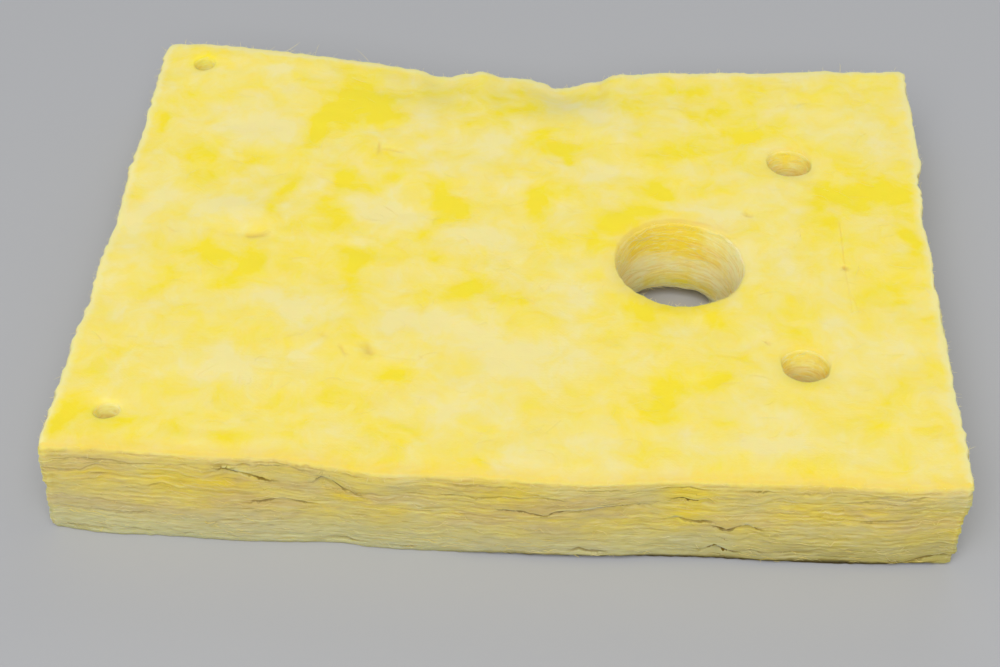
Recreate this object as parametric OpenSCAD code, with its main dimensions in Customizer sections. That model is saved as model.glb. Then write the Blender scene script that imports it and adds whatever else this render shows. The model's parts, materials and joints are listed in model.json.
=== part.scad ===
// Boiler insulation mat: one slab of yellow glass wool, cut to size and
// pierced by five round holes. Millimetres, +Z up. The origin is the centre
// of the underside, +X runs along the length and +Y towards the rear edge.

/* [Mat] */
// Length of the mat, end to end
mat_length = 600; // [480:10:1200]
// Width of the mat at its two ends
mat_width = 455; // [380:5:600]
// Thickness of the mat
mat_thickness = 75; // [50:5:120]
// Radius of the four upright corners
corner_radius = 5; // [1:1:20]

/* [Cut edges] */
// How far the front edge bulges out between its corners
front_bulge = 10; // [1:1:20]
// How far the rear edge is drawn in between its corners
rear_hollow = 12; // [1:1:25]

/* [Burner hole] */
// Diameter of the large hole for the burner tube
burner_hole_d = 92; // [60:2:130]
// Centre of the burner hole from the right end
burner_hole_from_end = 184; // [160:2:220]
// Centre of the burner hole from the front corners
burner_hole_from_front = 206; // [150:2:240]

/* [Pipe holes] */
// Diameter of the two pipe holes
pipe_hole_d = 33; // [16:1:45]
// Centres of the pipe holes from the right end
pipe_hole_from_end = 100; // [60:2:104]
// Centre of the front pipe hole from the front corners
front_pipe_hole_from_front = 106; // [60:2:120]
// Centre of the rear pipe hole from the rear corners
rear_pipe_hole_from_rear = 127; // [60:1:140]

/* [Bolt holes] */
// Diameter of the two bolt holes near the left end
bolt_hole_d = 18.5; // [8:0.5:30]
// Centres of the bolt holes from the left end
bolt_hole_from_end = 37; // [25:1:60]
// Centre of the front bolt hole from the front corners
front_bolt_hole_from_front = 35; // [25:1:60]
// Centre of the rear bolt hole from the rear corners
rear_bolt_hole_from_rear = 30; // [20:1:60]

/* [Dents pressed into the rear edge] */
// Depth of the wide sag in the middle of the rear edge
sag_depth = 12; // [1:1:18]
// Half the width of the wide sag
sag_half_width = 150; // [80:5:200]
// Middle of the wide sag from the left end
sag_from_end = 296; // [230:2:310]
// How far the wide sag reaches in from the rear edge
sag_reach = 110; // [40:5:140]
// Depth of the deep dent
deep_dent_depth = 21; // [4:1:35]
// Half the width of the deep dent
deep_dent_half_width = 46; // [20:2:80]
// Middle of the deep dent from the left end
deep_dent_from_end = 326; // [200:2:340]
// How far the deep dent reaches in from the rear edge
deep_dent_reach = 90; // [30:5:120]
// Depth of the narrow dent
narrow_dent_depth = 14; // [4:1:30]
// Half the width of the narrow dent
narrow_dent_half_width = 20; // [10:1:40]
// Middle of the narrow dent from the left end
narrow_dent_from_end = 231; // [120:1:250]
// How far the narrow dent reaches in from the rear edge
narrow_dent_reach = 60; // [20:5:100]

/* [Hidden] */
$fn = 96;

wool_colour = [0.95, 0.87, 0.45];
cut_clearance = 1;      // what a cutting tool runs past the face it leaves
edge_steps = 24;        // straight stretches in a bowed edge
corner_steps = 4;       // straight stretches in an upright corner
bow_flatness = 3;       // the higher, the flatter the middle of a bowed edge

left_x = -mat_length / 2;
right_x = mat_length / 2;
// The bulge is part of the overall width, and the origin is in its middle.
front_corner_y = -(mat_width - front_bulge) / 2;
rear_corner_y = front_corner_y + mat_width;
rear_middle_y = rear_corner_y - rear_hollow;

burner_hole = [right_x - burner_hole_from_end,
               front_corner_y + burner_hole_from_front];
pipe_holes = [[right_x - pipe_hole_from_end,
               front_corner_y + front_pipe_hole_from_front],
              [right_x - pipe_hole_from_end,
               rear_corner_y - rear_pipe_hole_from_rear]];
bolt_holes = [[left_x + bolt_hole_from_end,
               front_corner_y + front_bolt_hole_from_front],
              [left_x + bolt_hole_from_end,
               rear_corner_y - rear_bolt_hole_from_rear]];

// Share of the full bow at u, which runs from 0 at one corner to 1 at the other.
function bow(u) = 1 - pow(abs(2 * u - 1), bow_flatness);

// The points of one upright corner, turning from angle a through 90 degrees.
function corner(x, y, a) =
    [for (i = [0 : corner_steps])
        let (t = a + 90 * i / corner_steps)
            [x + corner_radius * cos(t), y + corner_radius * sin(t)]];

// The points between two corners of a long edge whose middle lies at y + bend.
function bowed_edge(x_from, x_to, y, bend) =
    [for (i = [1 : edge_steps - 1])
        let (u = i / edge_steps)
            [x_from + (x_to - x_from) * u, y + bend * bow(u)]];

// Plan of the mat, anticlockwise from its front left corner.
mat_outline =
    let (x0 = left_x + corner_radius, x1 = right_x - corner_radius,
         y0 = front_corner_y + corner_radius, y1 = rear_corner_y - corner_radius)
        concat(corner(x0, y0, 180),
               bowed_edge(x0, x1, front_corner_y, -front_bulge),
               corner(x1, y0, 270),
               corner(x1, y1, 0),
               bowed_edge(x1, x0, rear_corner_y, -rear_hollow),
               corner(x0, y1, 90));

// A round valley in the top face. It is as deep and wide as asked where it
// leaves over the rear edge, and runs out to nothing at its reach from there.
module valley(from_end, depth, half_width, reach) {
    radius = (half_width * half_width + depth * depth) / (2 * depth);
    slope = atan(depth / reach);
    translate([left_x + from_end, rear_middle_y - reach, mat_thickness])
        rotate([-90 - slope, 0, 0])
            translate([0, -radius, -reach])
                cylinder(r = radius, h = 3 * reach);
}

// A round hole through the whole thickness.
module hole(centre, diameter) {
    translate([centre[0], centre[1], -cut_clearance])
        cylinder(d = diameter, h = mat_thickness + 2 * cut_clearance);
}

// The mat is one piece of wool, with its holes and the dents in its rear edge.
module insulation_mat() {
    color(wool_colour)
        difference() {
            linear_extrude(height = mat_thickness) polygon(mat_outline);
            hole(burner_hole, burner_hole_d);
            for (centre = pipe_holes) hole(centre, pipe_hole_d);
            for (centre = bolt_holes) hole(centre, bolt_hole_d);
            valley(sag_from_end, sag_depth, sag_half_width, sag_reach);
            valley(deep_dent_from_end, deep_dent_depth,
                   deep_dent_half_width, deep_dent_reach);
            valley(narrow_dent_from_end, narrow_dent_depth,
                   narrow_dent_half_width, narrow_dent_reach);
        }
}

insulation_mat();
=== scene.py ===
"""A boiler insulation mat: one slab of yellow glass wool with five holes, lying on a pale floor."""

import math

import bpy
import numpy as np
from mathutils import Matrix, Vector
from mathutils.geometry import delaunay_2d_cdt
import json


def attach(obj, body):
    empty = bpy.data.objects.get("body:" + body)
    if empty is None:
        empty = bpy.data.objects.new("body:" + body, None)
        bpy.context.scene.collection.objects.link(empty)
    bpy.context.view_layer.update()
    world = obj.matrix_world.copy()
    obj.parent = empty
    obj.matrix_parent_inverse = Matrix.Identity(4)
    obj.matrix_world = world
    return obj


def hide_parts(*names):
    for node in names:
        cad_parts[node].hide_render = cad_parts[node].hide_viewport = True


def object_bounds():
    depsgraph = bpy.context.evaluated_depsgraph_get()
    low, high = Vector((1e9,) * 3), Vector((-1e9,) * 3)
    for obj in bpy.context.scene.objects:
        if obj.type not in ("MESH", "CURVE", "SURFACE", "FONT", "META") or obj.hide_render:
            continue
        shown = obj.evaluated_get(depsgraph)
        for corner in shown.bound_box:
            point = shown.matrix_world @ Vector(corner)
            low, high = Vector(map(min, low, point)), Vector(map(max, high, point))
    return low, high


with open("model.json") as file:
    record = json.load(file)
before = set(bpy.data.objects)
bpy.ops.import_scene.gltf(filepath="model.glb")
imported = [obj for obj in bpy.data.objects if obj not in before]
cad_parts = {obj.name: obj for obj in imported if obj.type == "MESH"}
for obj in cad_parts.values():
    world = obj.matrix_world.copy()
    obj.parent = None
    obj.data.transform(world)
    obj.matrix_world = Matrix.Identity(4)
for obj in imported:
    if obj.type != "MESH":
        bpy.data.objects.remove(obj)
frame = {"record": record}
cad_low, cad_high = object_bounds()

# ---------------------------------------------------------------------------------------------
# The mat
# A slab of glass wool, made as hundreds of thin layers of fibre that a yellow binder holds
# together. It was cut from the board with a knife, so its four sides show the layers edge on,
# and its five holes were cored with a sharp tube. It is one piece, with no facing.
# ---------------------------------------------------------------------------------------------
MM = 0.001                  # lengths below are in millimetres, and the meshes are in metres

left, front_crest = cad_low[0] / MM, cad_low[1] / MM
right, rear_corner, thickness = [c / MM for c in cad_high]
front_bulge = 10.0          # how far the front side bows out between its corners
rear_hollow = 12.0          # how far the rear side is drawn in between its corners
corner_radius = 6.0
front_corner = front_crest + front_bulge
rear_middle = rear_corner - rear_hollow

# The holes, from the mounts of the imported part: centre x, centre y, radius.
holes = [(m["pos_m"][0] / MM, m["pos_m"][1] / MM, m["dims"]["r_mm"])
         for m in frame["record"]["mounts"] if m["kind"] == "bore"]
burner_x, burner_y, burner_radius = max(holes, key=lambda hole: hole[2])
bolt_radius = min(radius for _, _, radius in holes)


def random_lattice(ix, iy, iz, seed):
    """One number from -1 to 1 for each whole-numbered lattice point."""
    n = (ix * 73856093) ^ (iy * 19349663) ^ (iz * 83492791) ^ (seed * 2654435761)
    n = (n ^ (n >> 15)) * 2246822519 & 0xFFFFFFFF
    n = (n ^ (n >> 13)) * 3266489917 & 0xFFFFFFFF
    n = n ^ (n >> 16)
    return n / 2147483647.5 - 1.0


def drift(x, y, z, cell, seed):
    """A smooth random field from -1 to 1. cell is how long its lumps are along x, y and z."""
    whole, part = [], []
    for value, size in zip((x, y, z), cell):
        scaled = np.asarray(value, float) / size
        base = np.floor(scaled)
        whole.append(base.astype(np.int64))
        t = scaled - base
        part.append(t * t * t * (t * (6 * t - 15) + 10))
    total = 0.0
    for dx in (0, 1):
        for dy in (0, 1):
            for dz in (0, 1):
                weight = ((part[0] if dx else 1 - part[0]) * (part[1] if dy else 1 - part[1])
                          * (part[2] if dz else 1 - part[2]))
                corner = random_lattice(whole[0] + dx, whole[1] + dy, whole[2] + dz, seed)
                total = total + weight * corner
    return total


def lumps(x, y, size, seed):
    """A smooth random field from -1 to 1 over a face, with round lumps of one size."""
    return drift(x, y, 0, (size, size, size), seed)


def smooth_step(value, start, end):
    """Eases from 0 at start to 1 at end."""
    t = np.clip((value - start) / (end - start), 0, 1)
    return t * t * (3 - 2 * t)


def run_along(places, values, at):
    """A smooth line through given values: (place, value) pairs in two lists."""
    places = np.asarray(places, float)
    values = np.asarray(values, float)
    slopes = np.gradient(values, places)
    at = np.clip(at, places[0], places[-1])
    i = np.clip(np.searchsorted(places, at) - 1, 0, len(places) - 2)
    width = places[i + 1] - places[i]
    t = (at - places[i]) / width
    return ((2 * t**3 - 3 * t**2 + 1) * values[i] + (t**3 - 2 * t**2 + t) * width * slopes[i]
            + (3 * t**2 - 2 * t**3) * values[i + 1] + (t**3 - t**2) * width * slopes[i + 1])


# The rear edge was pressed down in storage: how far it lies below full height, along x.
rear_drop_x = [-300, -262, -215, -172, -150, -124, -104, -88, -77, -68, -52, -40, -24, -4, 8,
               19, 27, 38, 46, 55, 62, 80, 100, 130, 170, 205, 232, 252, 280, 300]
rear_drop = [1.5, -3.0, -2.5, -0.5, 2.0, 3.2, 7.0, 9.5, 14.5, 14.0, 10.0, 7.8, 12.0, 14.0, 17.5,
             21.5, 21.5, 17.0, 14.0, 13.0, 8.5, 5.8, 3.2, 2.3, 1.4, 0.6, -1.0, 1.5, 2.0, 2.5]

# Where the front side stands further out than its plain bow, at the top and at the foot.
front_lean_x = [-300, -270, -215, -180, -150, -128, -105, -88, -50, 20, 65, 100, 130, 200, 240,
                278, 300]
front_lean_top = [0, -4, -6.5, -6, -9, -6, -3.5, 0.5, -1, 1.5, 1.5, -3.5, -3.5, -3.5, -1, 0.5, 0]
front_lean_foot = [3.5, 5, 1.8, 1.5, 0.3, -1.5, -2.5, 0, 0.5, 1.2, 0.2, -1.5, -1.7, 1.2, 2.6, 2.3, 2.5]

# How far each end of the board is drawn in by handling, along y.
right_in_y = [-235, -165, -140, -95, -45, -20, 5, 30, 45, 60, 75, 90, 102, 130, 165, 210, 228]
right_in = [-1.5, -0.5, 1.0, 2.0, 3.5, 4.0, 2.5, 4.5, 5.5, 4.0, 3.5, 4.5, 1.5, 0.5, 1.0, 2.0, 2.0]
left_in_y = [-235, -205, -175, -150, -110, -90, -70, -45, -20, 10, 40, 65, 95, 125, 160, 190, 225]
left_in = [-0.8, -1.8, -1.0, 0.0, 0.5, 2.5, 2.0, 1.0, 2.5, 4.0, 3.5, 2.5, 3.5, 3.0, 2.5, 2.0, 2.0]

# Where the long sides and the ends start and stop, short of the rounded corners.
side_left, side_right = left + corner_radius, right - corner_radius
end_front, end_rear = front_corner + corner_radius, rear_corner - corner_radius


def bow(x):
    """Share of a long side's full bend at x. It is 0 at the corners and 1 in the middle."""
    u = np.clip((x - side_left) / (side_right - side_left), 0, 1)
    return 1 - abs(2 * u - 1) ** 3


def front_edge(x):
    """Where the front side lies at x, in plan."""
    return front_corner - front_bulge * bow(x)


def rear_edge(x):
    """Where the rear side lies at x, in plan."""
    return rear_corner - rear_hollow * bow(x)


def plan_side(x_from, x_to, edge, step):
    """Points of a long side from one corner to the next."""
    x = np.linspace(x_from, x_to, round(abs(x_to - x_from) / step), endpoint=False)
    return np.column_stack([x, edge(x)])


def plan_end(x, y_from, y_to, step):
    """Points of a straight end from one corner to the next."""
    y = np.linspace(y_from, y_to, round(abs(y_to - y_from) / step), endpoint=False)
    return np.column_stack([np.full_like(y, x), y])


def plan_corner(x, y, from_angle):
    """Four points of an upright corner that turns through a quarter circle about (x, y)."""
    a = np.radians(from_angle + np.array([0, 22.5, 45, 67.5]))
    return np.column_stack([x + corner_radius * np.cos(a), y + corner_radius * np.sin(a)])


# How far apart the columns of the outer wall are. The front side is seen from nearest.
column_step_front = 1.6
column_step_ends = 3.3
column_step_rear = 2.9
outline = np.vstack([
    plan_corner(side_left, end_front, 180),
    plan_side(side_left, side_right, front_edge, column_step_front),
    plan_corner(side_right, end_front, 270),
    plan_end(right, end_front, end_rear, column_step_ends),
    plan_corner(side_right, end_rear, 0),
    plan_side(side_right, side_left, rear_edge, column_step_rear),
    plan_corner(side_left, end_rear, 90),
    plan_end(left, end_rear, end_front, column_step_ends)])


def hole_outline(x, y, radius, step):
    """A hole's rim, clockwise, so that a wall's outside is always on the right of its outline."""
    a = -np.linspace(0, 2 * math.pi, round(2 * math.pi * radius / step), endpoint=False)
    return np.column_stack([x + radius * np.cos(a), y + radius * np.sin(a)])


def pressed_height(x, y):
    """Height of the top face over its full height, as the board was made, pressed and stored."""
    near_rear = smooth_step(y, rear_middle - 95, rear_middle)
    drop = run_along(rear_drop_x, rear_drop, x + 6 * lumps(x, y, 40, 3) * (1 - near_rear))
    height = -drop * near_rear ** 1.6 + 0.9 * lumps(x, y, 95, 11) + 0.6 * lumps(x, y, 38, 12)
    height = height + 0.35 * drift(x, y, 0, (17, 14, 20), 13) + 0.2 * drift(x, y, 0, (8, 7, 9), 14)
    # a soft lump where a pale wad of wool was laid in
    height = height + 2.2 * np.exp(-((x + 205) / 26) ** 2 - ((y - 20) / 17) ** 2)
    return height - 0.9


# Small tears and pricks in the top face: the points of a path, how wide and how deep it is.
nicks = [
    ([(233.0, 35.0), (233.4, 10.0), (233.5, -14.0)], 0.6, 0.38),
    ([(233.5, -14.0), (234.5, -36.0), (235.5, -62.0)], 0.6, 0.2),
    ([(235.0, -38.0), (240.5, -60.0)], 0.6, 0.15),
    ([(233.4, -13.0), (233.6, -14.2)], 1.8, 1.7),
    ([(-196.0, -4.5), (-191.5, -4.0), (-187.0, -2.5)], 2.6, 1.3),
    ([(-226.0, 1.5), (-214.0, -3.5), (-199.0, -5.0)], 2.8, 0.25),
    ([(-112.0, 106.0), (-111.5, 99.0)], 1.7, 1.0),
    ([(-114.0, 101.5), (-104.0, 102.0), (-96.0, 99.5)], 1.3, 0.6),
    ([(-116.0, -117.5), (-112.5, -123.0)], 1.4, 0.6),
    ([(-97.5, -118.5), (-96.0, -121.5)], 3.4, 1.2),
    ([(-94.0, -123.0), (-80.0, -126.0), (-62.0, -127.0)], 1.1, 0.14),
    ([(166.0, 42.0), (166.6, 41.6)], 2.0, 1.1),
    ([(174.0, -94.5), (174.8, -95.1)], 1.1, 0.9),
    ([(-130.0, -106.0), (-129.2, -106.6)], 2.2, 0.4),
]


def distance_to_path(x, y, path):
    """How far each place on a face lies from the nearest point of a path."""
    nearest = np.full(np.shape(x), 1e9)
    for (ax, ay), (bx, by) in zip(path[:-1], path[1:]):
        length2 = (bx - ax) ** 2 + (by - ay) ** 2
        t = np.clip(((x - ax) * (bx - ax) + (y - ay) * (by - ay)) / length2, 0, 1)
        nearest = np.minimum(nearest, np.hypot(x - ax - t * (bx - ax), y - ay - t * (by - ay)))
    return nearest


def nick_depth(x, y):
    """How deep the small tears reach into the top face at each place."""
    depth = np.zeros(np.shape(x))
    for path, width, deep in nicks:
        depth = np.maximum(depth, deep * np.exp(-(distance_to_path(x, y, path) / width) ** 2))
    return depth


def top_height(x, y):
    """Height of the top face, with its tears."""
    return thickness + pressed_height(x, y) - nick_depth(x, y)


# The layers seen on a cut side. Each layer takes two rows of the mesh: its foot, which lies
# back in the groove under it, and its lip. Rounding rows lead over to the two flat faces.
rng = np.random.default_rng(5)
layer_count = 27
layer_share = rng.uniform(0.6, 1.6, layer_count)
rim_height = 3.0
foot_height = 1.6
layered_height = thickness - rim_height - foot_height
layer_tops = foot_height + np.cumsum(layer_share) / layer_share.sum() * layered_height
layer_bottoms = np.concatenate([[foot_height], layer_tops[:-1]])

FOOT, LIP, ROUNDING = 0, 1, 2
# each row: its height, how far it is set in, its layer and its kind
rows_of_wall = [(0.0, 2.6, 0, ROUNDING), (0.3, 1.0, 0, ROUNDING), (0.9, 0.3, 0, ROUNDING)]
for number, (low, high) in enumerate(zip(layer_bottoms, layer_tops)):
    rows_of_wall.append((low + 0.12 * (high - low), 0.0, number, FOOT))
    rows_of_wall.append((low + 0.72 * (high - low), 0.0, number, LIP))
for below_top, inset in ((2.4, 0.05), (1.5, 0.3), (0.75, 0.8), (0.25, 1.6), (0.0, 2.7)):
    rows_of_wall.append((thickness - below_top, inset, layer_count, ROUNDING))
row_height, row_inset, row_layer, row_kind = np.array(rows_of_wall).T
row_count = len(row_height)

# Splits between layers, side by side. Each is a path of (place along the side, height), how
# far the wool above it juts out and how far the wool under it is torn back.
splits = {
    "front": [
        ([(-188, 64), (-179, 64.5), (-171, 61.5), (-163, 58.5), (-156, 56), (-147, 54.5)], 1.2, 3.8),
        ([(-123, 57), (-117, 64), (-110, 61), (-103, 55.5), (-94, 51.5), (-86, 50)], 1.0, 3.2),
        ([(-168, 35.5), (-158, 36), (-150, 38.5), (-142, 40.5), (-134, 39), (-123, 39)], 0.6, 2.4),
        ([(-298, 55), (-288, 54.5), (-276, 55), (-265, 61), (-256, 58)], 0.5, 1.4),
        ([(-234, 44), (-222, 48), (-212, 44), (-205, 43)], 0.5, 1.2),
        ([(-165, 67), (-150, 68), (-138, 69), (-122, 66)], 0.5, 1.2),
        ([(-294, 4), (-275, 6.5), (-260, 4)], 0.5, 1.6),
        ([(-190, 8), (-172, 6), (-158, 5.5)], 0.5, 1.8),
        ([(-4, 45.5), (12, 45), (27, 41), (36, 46), (48, 48), (60, 50), (84, 53.5), (98, 53.5)], 0.7, 2.6),
        ([(108, 55), (117, 58.5), (122, 57), (127, 57), (131, 60), (136, 57)], 1.2, 4.0),
        ([(102, 67), (110, 68.5), (122, 68), (132, 66)], 0.7, 2.0),
        ([(105, 38), (114, 42), (120, 38.5), (127, 37.5), (136, 38)], 1.0, 3.0),
        ([(136, 35), (143, 31.5), (148, 29.5), (154, 33), (160, 37), (166, 33), (171, 31.5)], 1.0, 3.6),
        ([(128, 8), (134, 12), (140, 16.5), (146, 13.5), (152, 10), (156, 9)], 1.2, 7.5),
        ([(158, 11), (166, 13.5), (172, 10)], 0.7, 2.8),
        ([(44, 7), (51, 11.5), (57, 8), (73, 6.5)], 0.7, 2.8),
        ([(252, 3.5), (269, 4), (277, 6.5), (287, 10.5), (300, 11.5)], 0.6, 3.4),
        ([(-72, 41), (-50, 39), (-30, 41)], 0.5, 1.6),
        ([(-290, 22), (-255, 20), (-225, 23)], 0.4, 1.2),
        ([(205, 44), (235, 42), (268, 45)], 0.5, 1.6),
        ([(-40, 57), (-15, 55), (20, 58), (45, 57)], 0.5, 1.4),
        ([(175, 60), (205, 57), (240, 60)], 0.5, 1.4),
        ([(-60, 22), (-20, 25), (20, 21)], 0.4, 1.2),
        ([(-290, 64), (-262, 65), (-236, 63), (-205, 64.5)], 0.3, 1.4),
        ([(-200, 66.5), (-180, 67.5), (-160, 66)], 0.3, 1.4),
        ([(-148, 70), (-128, 70.5), (-105, 68.5), (-85, 67)], 0.3, 1.1),
        ([(-70, 66), (-40, 67), (-10, 65.5), (20, 67)], 0.3, 1.3),
        ([(30, 66), (60, 67.5), (90, 66)], 0.3, 1.3),
        ([(150, 66.5), (190, 65.5), (220, 67), (250, 65.5)], 0.4, 1.5),
        ([(255, 65), (275, 66.5), (292, 66)], 0.3, 1.3),
        ([(-252, 6), (-243, 7.5), (-232, 6)], 0.4, 1.8),
        ([(-215, 4), (-206, 5), (-198, 3.5)], 0.4, 1.8),
        ([(-120, 5), (-108, 7), (-95, 5)], 0.4, 1.8),
        ([(-78, 4), (-66, 5.5), (-52, 4)], 0.4, 1.6),
        ([(198, 7), (214, 9), (232, 7)], 0.4, 1.6),
    ],
    "right": [
        ([(-228, 11), (-205, 10), (-180, 8), (-165, 6)], 0.6, 2.6),
        ([(-120, 52), (-95, 55), (-60, 50), (-35, 47)], 0.8, 2.4),
        ([(20, 30), (50, 34), (85, 31), (110, 27)], 0.8, 2.6),
        ([(128, 58), (150, 61), (175, 57)], 0.6, 1.9),
        ([(-60, 22), (-30, 25), (0, 22)], 0.6, 1.8),
        ([(-200, 38), (-170, 36), (-150, 39)], 0.5, 1.8),
        ([(120, 12), (160, 15), (200, 12)], 0.5, 1.8),
        ([(-20, 66), (30, 64), (70, 67)], 0.4, 1.6),
    ],
    "rear": [
        ([(-250, 44), (-215, 49), (-180, 46), (-160, 41)], 0.8, 2.6),
        ([(-110, 30), (-80, 27), (-45, 31), (-20, 28)], 0.8, 2.8),
        ([(30, 46), (60, 41), (95, 44)], 0.8, 2.4),
        ([(120, 22), (160, 26), (200, 22), (230, 18)], 0.7, 2.2),
        ([(190, 55), (225, 58), (262, 54)], 0.6, 1.9),
        ([(-60, 58), (-30, 60), (0, 56)], 0.5, 1.8),
        ([(-280, 20), (-240, 17), (-200, 21)], 0.5, 1.8),
        ([(-10, 12), (40, 15), (90, 11)], 0.5, 1.9),
        ([(100, 64), (150, 66), (185, 63)], 0.4, 1.6),
    ],
    "left": [
        ([(-190, 50), (-160, 54), (-120, 49)], 0.7, 2.4),
        ([(-80, 28), (-40, 32), (-5, 27)], 0.8, 2.6),
        ([(40, 56), (75, 53), (110, 57)], 0.6, 1.9),
        ([(95, 24), (140, 20), (180, 25)], 0.7, 2.4),
        ([(-210, 14), (-170, 17), (-130, 13)], 0.5, 1.8),
        ([(150, 42), (180, 45), (205, 41)], 0.5, 1.7),
        ([(-60, 65), (-20, 66), (20, 63)], 0.4, 1.6),
    ],
}
far_from_split = 9.0        # what stands for a place with no split near it


class Wall:
    """A wall of the mat, as a grid: columns along its outline, rows up its layers.

    plan holds its outline, roughness is how strongly its layers stand out, and layer_length is
    how far each keeps its own lie. rounding and frayed are how round and how frayed its rims are.
    """

    def __init__(self, plan, roughness, layer_length, rounding, frayed, seed=0):
        self.plan = plan
        self.seed = seed
        self.layer_length = layer_length
        self.inset = row_inset * np.broadcast_to(rounding, len(plan))[:, None]
        self.frayed = np.broadcast_to(frayed, len(plan))[:, None]
        self.rows = np.broadcast_to(row_height, (len(plan), row_count))
        ahead = np.roll(plan, -1, axis=0) - np.roll(plan, 1, axis=0)
        ahead /= np.linalg.norm(ahead, axis=1)[:, None]
        self.out = np.column_stack([ahead[:, 1], -ahead[:, 0]])
        step = np.linalg.norm(np.roll(plan, -1, axis=0) - plan, axis=1)
        self.arc = np.concatenate([[0], np.cumsum(step)])
        # the layers rise and fall along the wall, but not at its foot or its rim
        self.body = smooth_step(self.rows, 0, 10) \
            * (1 - smooth_step(self.rows, thickness - 12, thickness))
        self.lift = self.body * (2.6 * self.lumps(75, 26, 21) + 1.3 * self.lumps(28, 12, 22)
                                 + 0.7 * self.lumps(11, 7, 37) + 0.45 * self.lumps(5, 4, 39))
        # how far each layer stands out, and how deep the groove under it is
        stand = (0.35 * self.per_layer(2.0, 23) + 0.35 * self.per_layer(0.7, 24)
                 + 0.35 * self.per_layer(0.28, 25) + 0.3 * self.per_layer(0.12, 34))
        groove = smooth_step(0.75 * self.per_layer(0.5, 26) + 0.5 * self.per_layer(0.16, 30),
                             -0.25, 0.7)
        layered = 0.3 + 0.9 * smooth_step(self.lumps(32, 9, 36), -0.45, 0.45)
        swell = 1.1 * self.lumps(70, 30, 27) + 0.7 * self.lumps(22, 12, 28)
        crumbs = 0.4 * self.lumps(7, 3, 29) + 0.25 * self.lumps(3.4, 1.7, 33)
        is_foot = row_kind == FOOT
        self.push = roughness * (layered * (0.62 * stand - (0.6 * groove + 0.05) * is_foot)
                                 + swell + crumbs)
        # painted shade in the groove under each layer, on its foot row
        self.crease = (0.5 * groove + 0.02) * is_foot
        self.pocket = np.zeros(self.rows.shape)
        self.foot_shade = np.zeros(self.rows.shape)
        self.cracks = []

    def lumps(self, wide, tall, number):
        """A smooth random field over the wall."""
        x, y = self.plan[:, :1], self.plan[:, 1:]
        return drift(x, y, self.rows, (wide, wide, tall), number + self.seed)

    def per_layer(self, length, number):
        """A random value that changes along each layer, by itself."""
        x, y = self.plan[:, :1], self.plan[:, 1:]
        length = length * self.layer_length
        return drift(x, y, row_layer[None, :], (length, length, 1), number + self.seed)

    def side(self, name):
        """Which columns belong to a side, from 0 to 1, and each column's place along it."""
        x, y = self.plan.T
        facing = {"front": -self.out[:, 1], "rear": self.out[:, 1],
                  "right": self.out[:, 0], "left": -self.out[:, 0]}[name]
        return smooth_step(facing, 0.4, 0.75), (x if name in ("front", "rear") else y)

    def open_split(self, side, path, lip, tear):
        """Parts two layers: the wool above juts out by lip, and that below is torn back."""
        on_side, place = self.side(side)
        along, height = np.array(path, float).T
        middle = height.mean()
        feet = np.where(row_kind == FOOT)[0]
        row = feet[np.argmin(abs(row_height[feet] - middle))]
        reach = on_side * smooth_step(place, along[0] - 6, along[0] + 9) \
            * (1 - smooth_step(place, along[-1] - 9, along[-1] + 6))

        def ragged(length, number):
            return drift(*self.plan.T, middle, (length, length, 6), number)

        target = np.interp(place, along, height) + 0.7 * ragged(11, 31) + 0.7 * ragged(4.5, 35)
        near = np.exp(-((row_height - row_height[row]) / 3.0) ** 2)
        moved = reach * (target - row_height[row] - self.lift[:, row])
        self.lift = self.lift + moved[:, None] * near
        fitful = 0.8 + 0.6 * ragged(12, 38)
        if tear < 2:
            # a shallow split comes and goes along its length
            fitful = fitful * smooth_step(ragged(20, 43), -0.45, 0.25)
        self.cracks.append((target, np.clip(reach * fitful * tear / 4.4, 0, 1.7)))
        over = row_height - row_height[row + 1]
        under = row_height[row] - row_height
        jut = np.where(over >= 0, np.exp(-over / 5.0), 0)
        hollow = np.where(under >= 0, 0.75 * np.exp(-under / 1.3) + 0.25 * np.exp(-under / 9.0), 0)
        uneven = reach * (1 + 0.6 * ragged(8, 32))
        self.push = self.push + uneven[:, None] * (0.5 * lip * jut - 0.42 * tear * hollow)
        soaked = np.where(under >= 0, np.exp(-under / 7.0), 0) * tear / 5.0
        self.pocket = self.pocket + reach[:, None] * soaked

    def finish(self, pushed=0.0, extra_shade=0.0):
        """Frays and rounds the rims, then lays the wall's points."""
        rows = self.rows
        height = rows + self.lift * self.body ** 0.5 + np.arange(row_count) * 1e-3
        height = np.clip(np.maximum.accumulate(height, axis=1), 0, thickness)
        height[:, 0] = 0
        height[:, -1] = thickness
        fade = smooth_step(rows, 0.0, 5.0) * (1 - smooth_step(rows, thickness - 5.5, thickness))
        at_rims = smooth_step(rows, thickness - 9, thickness) + 0.6 * (1 - smooth_step(rows, 0, 6))
        fraying = 0.6 * self.lumps(6, 9, 40) + 0.6 * self.lumps(3.4, 9, 41)
        self.push = self.push * fade + self.frayed * at_rims * fraying - self.inset + pushed
        self.crease = np.clip(self.crease * fade, 0, 1) + extra_shade
        self.pocket = np.clip(self.pocket * fade, 0, 1)
        # how far each point is from the nearest split, and how deep that one is, for the painted shade along
        # the split
        self.from_crack = np.full(rows.shape, far_from_split)
        self.crack_depth = np.zeros(rows.shape)
        for target, depth in self.cracks:
            above_it = height - target[:, None]
            nearer = (abs(above_it) < abs(self.from_crack)) & (depth[:, None] > 0.02)
            self.from_crack = np.where(nearer, above_it, self.from_crack)
            self.crack_depth = np.where(nearer, depth[:, None], self.crack_depth)
        flat = self.plan[:, None, :] + self.out[:, None, :] * self.push[:, :, None]
        self.points = np.dstack([flat, height])


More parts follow.
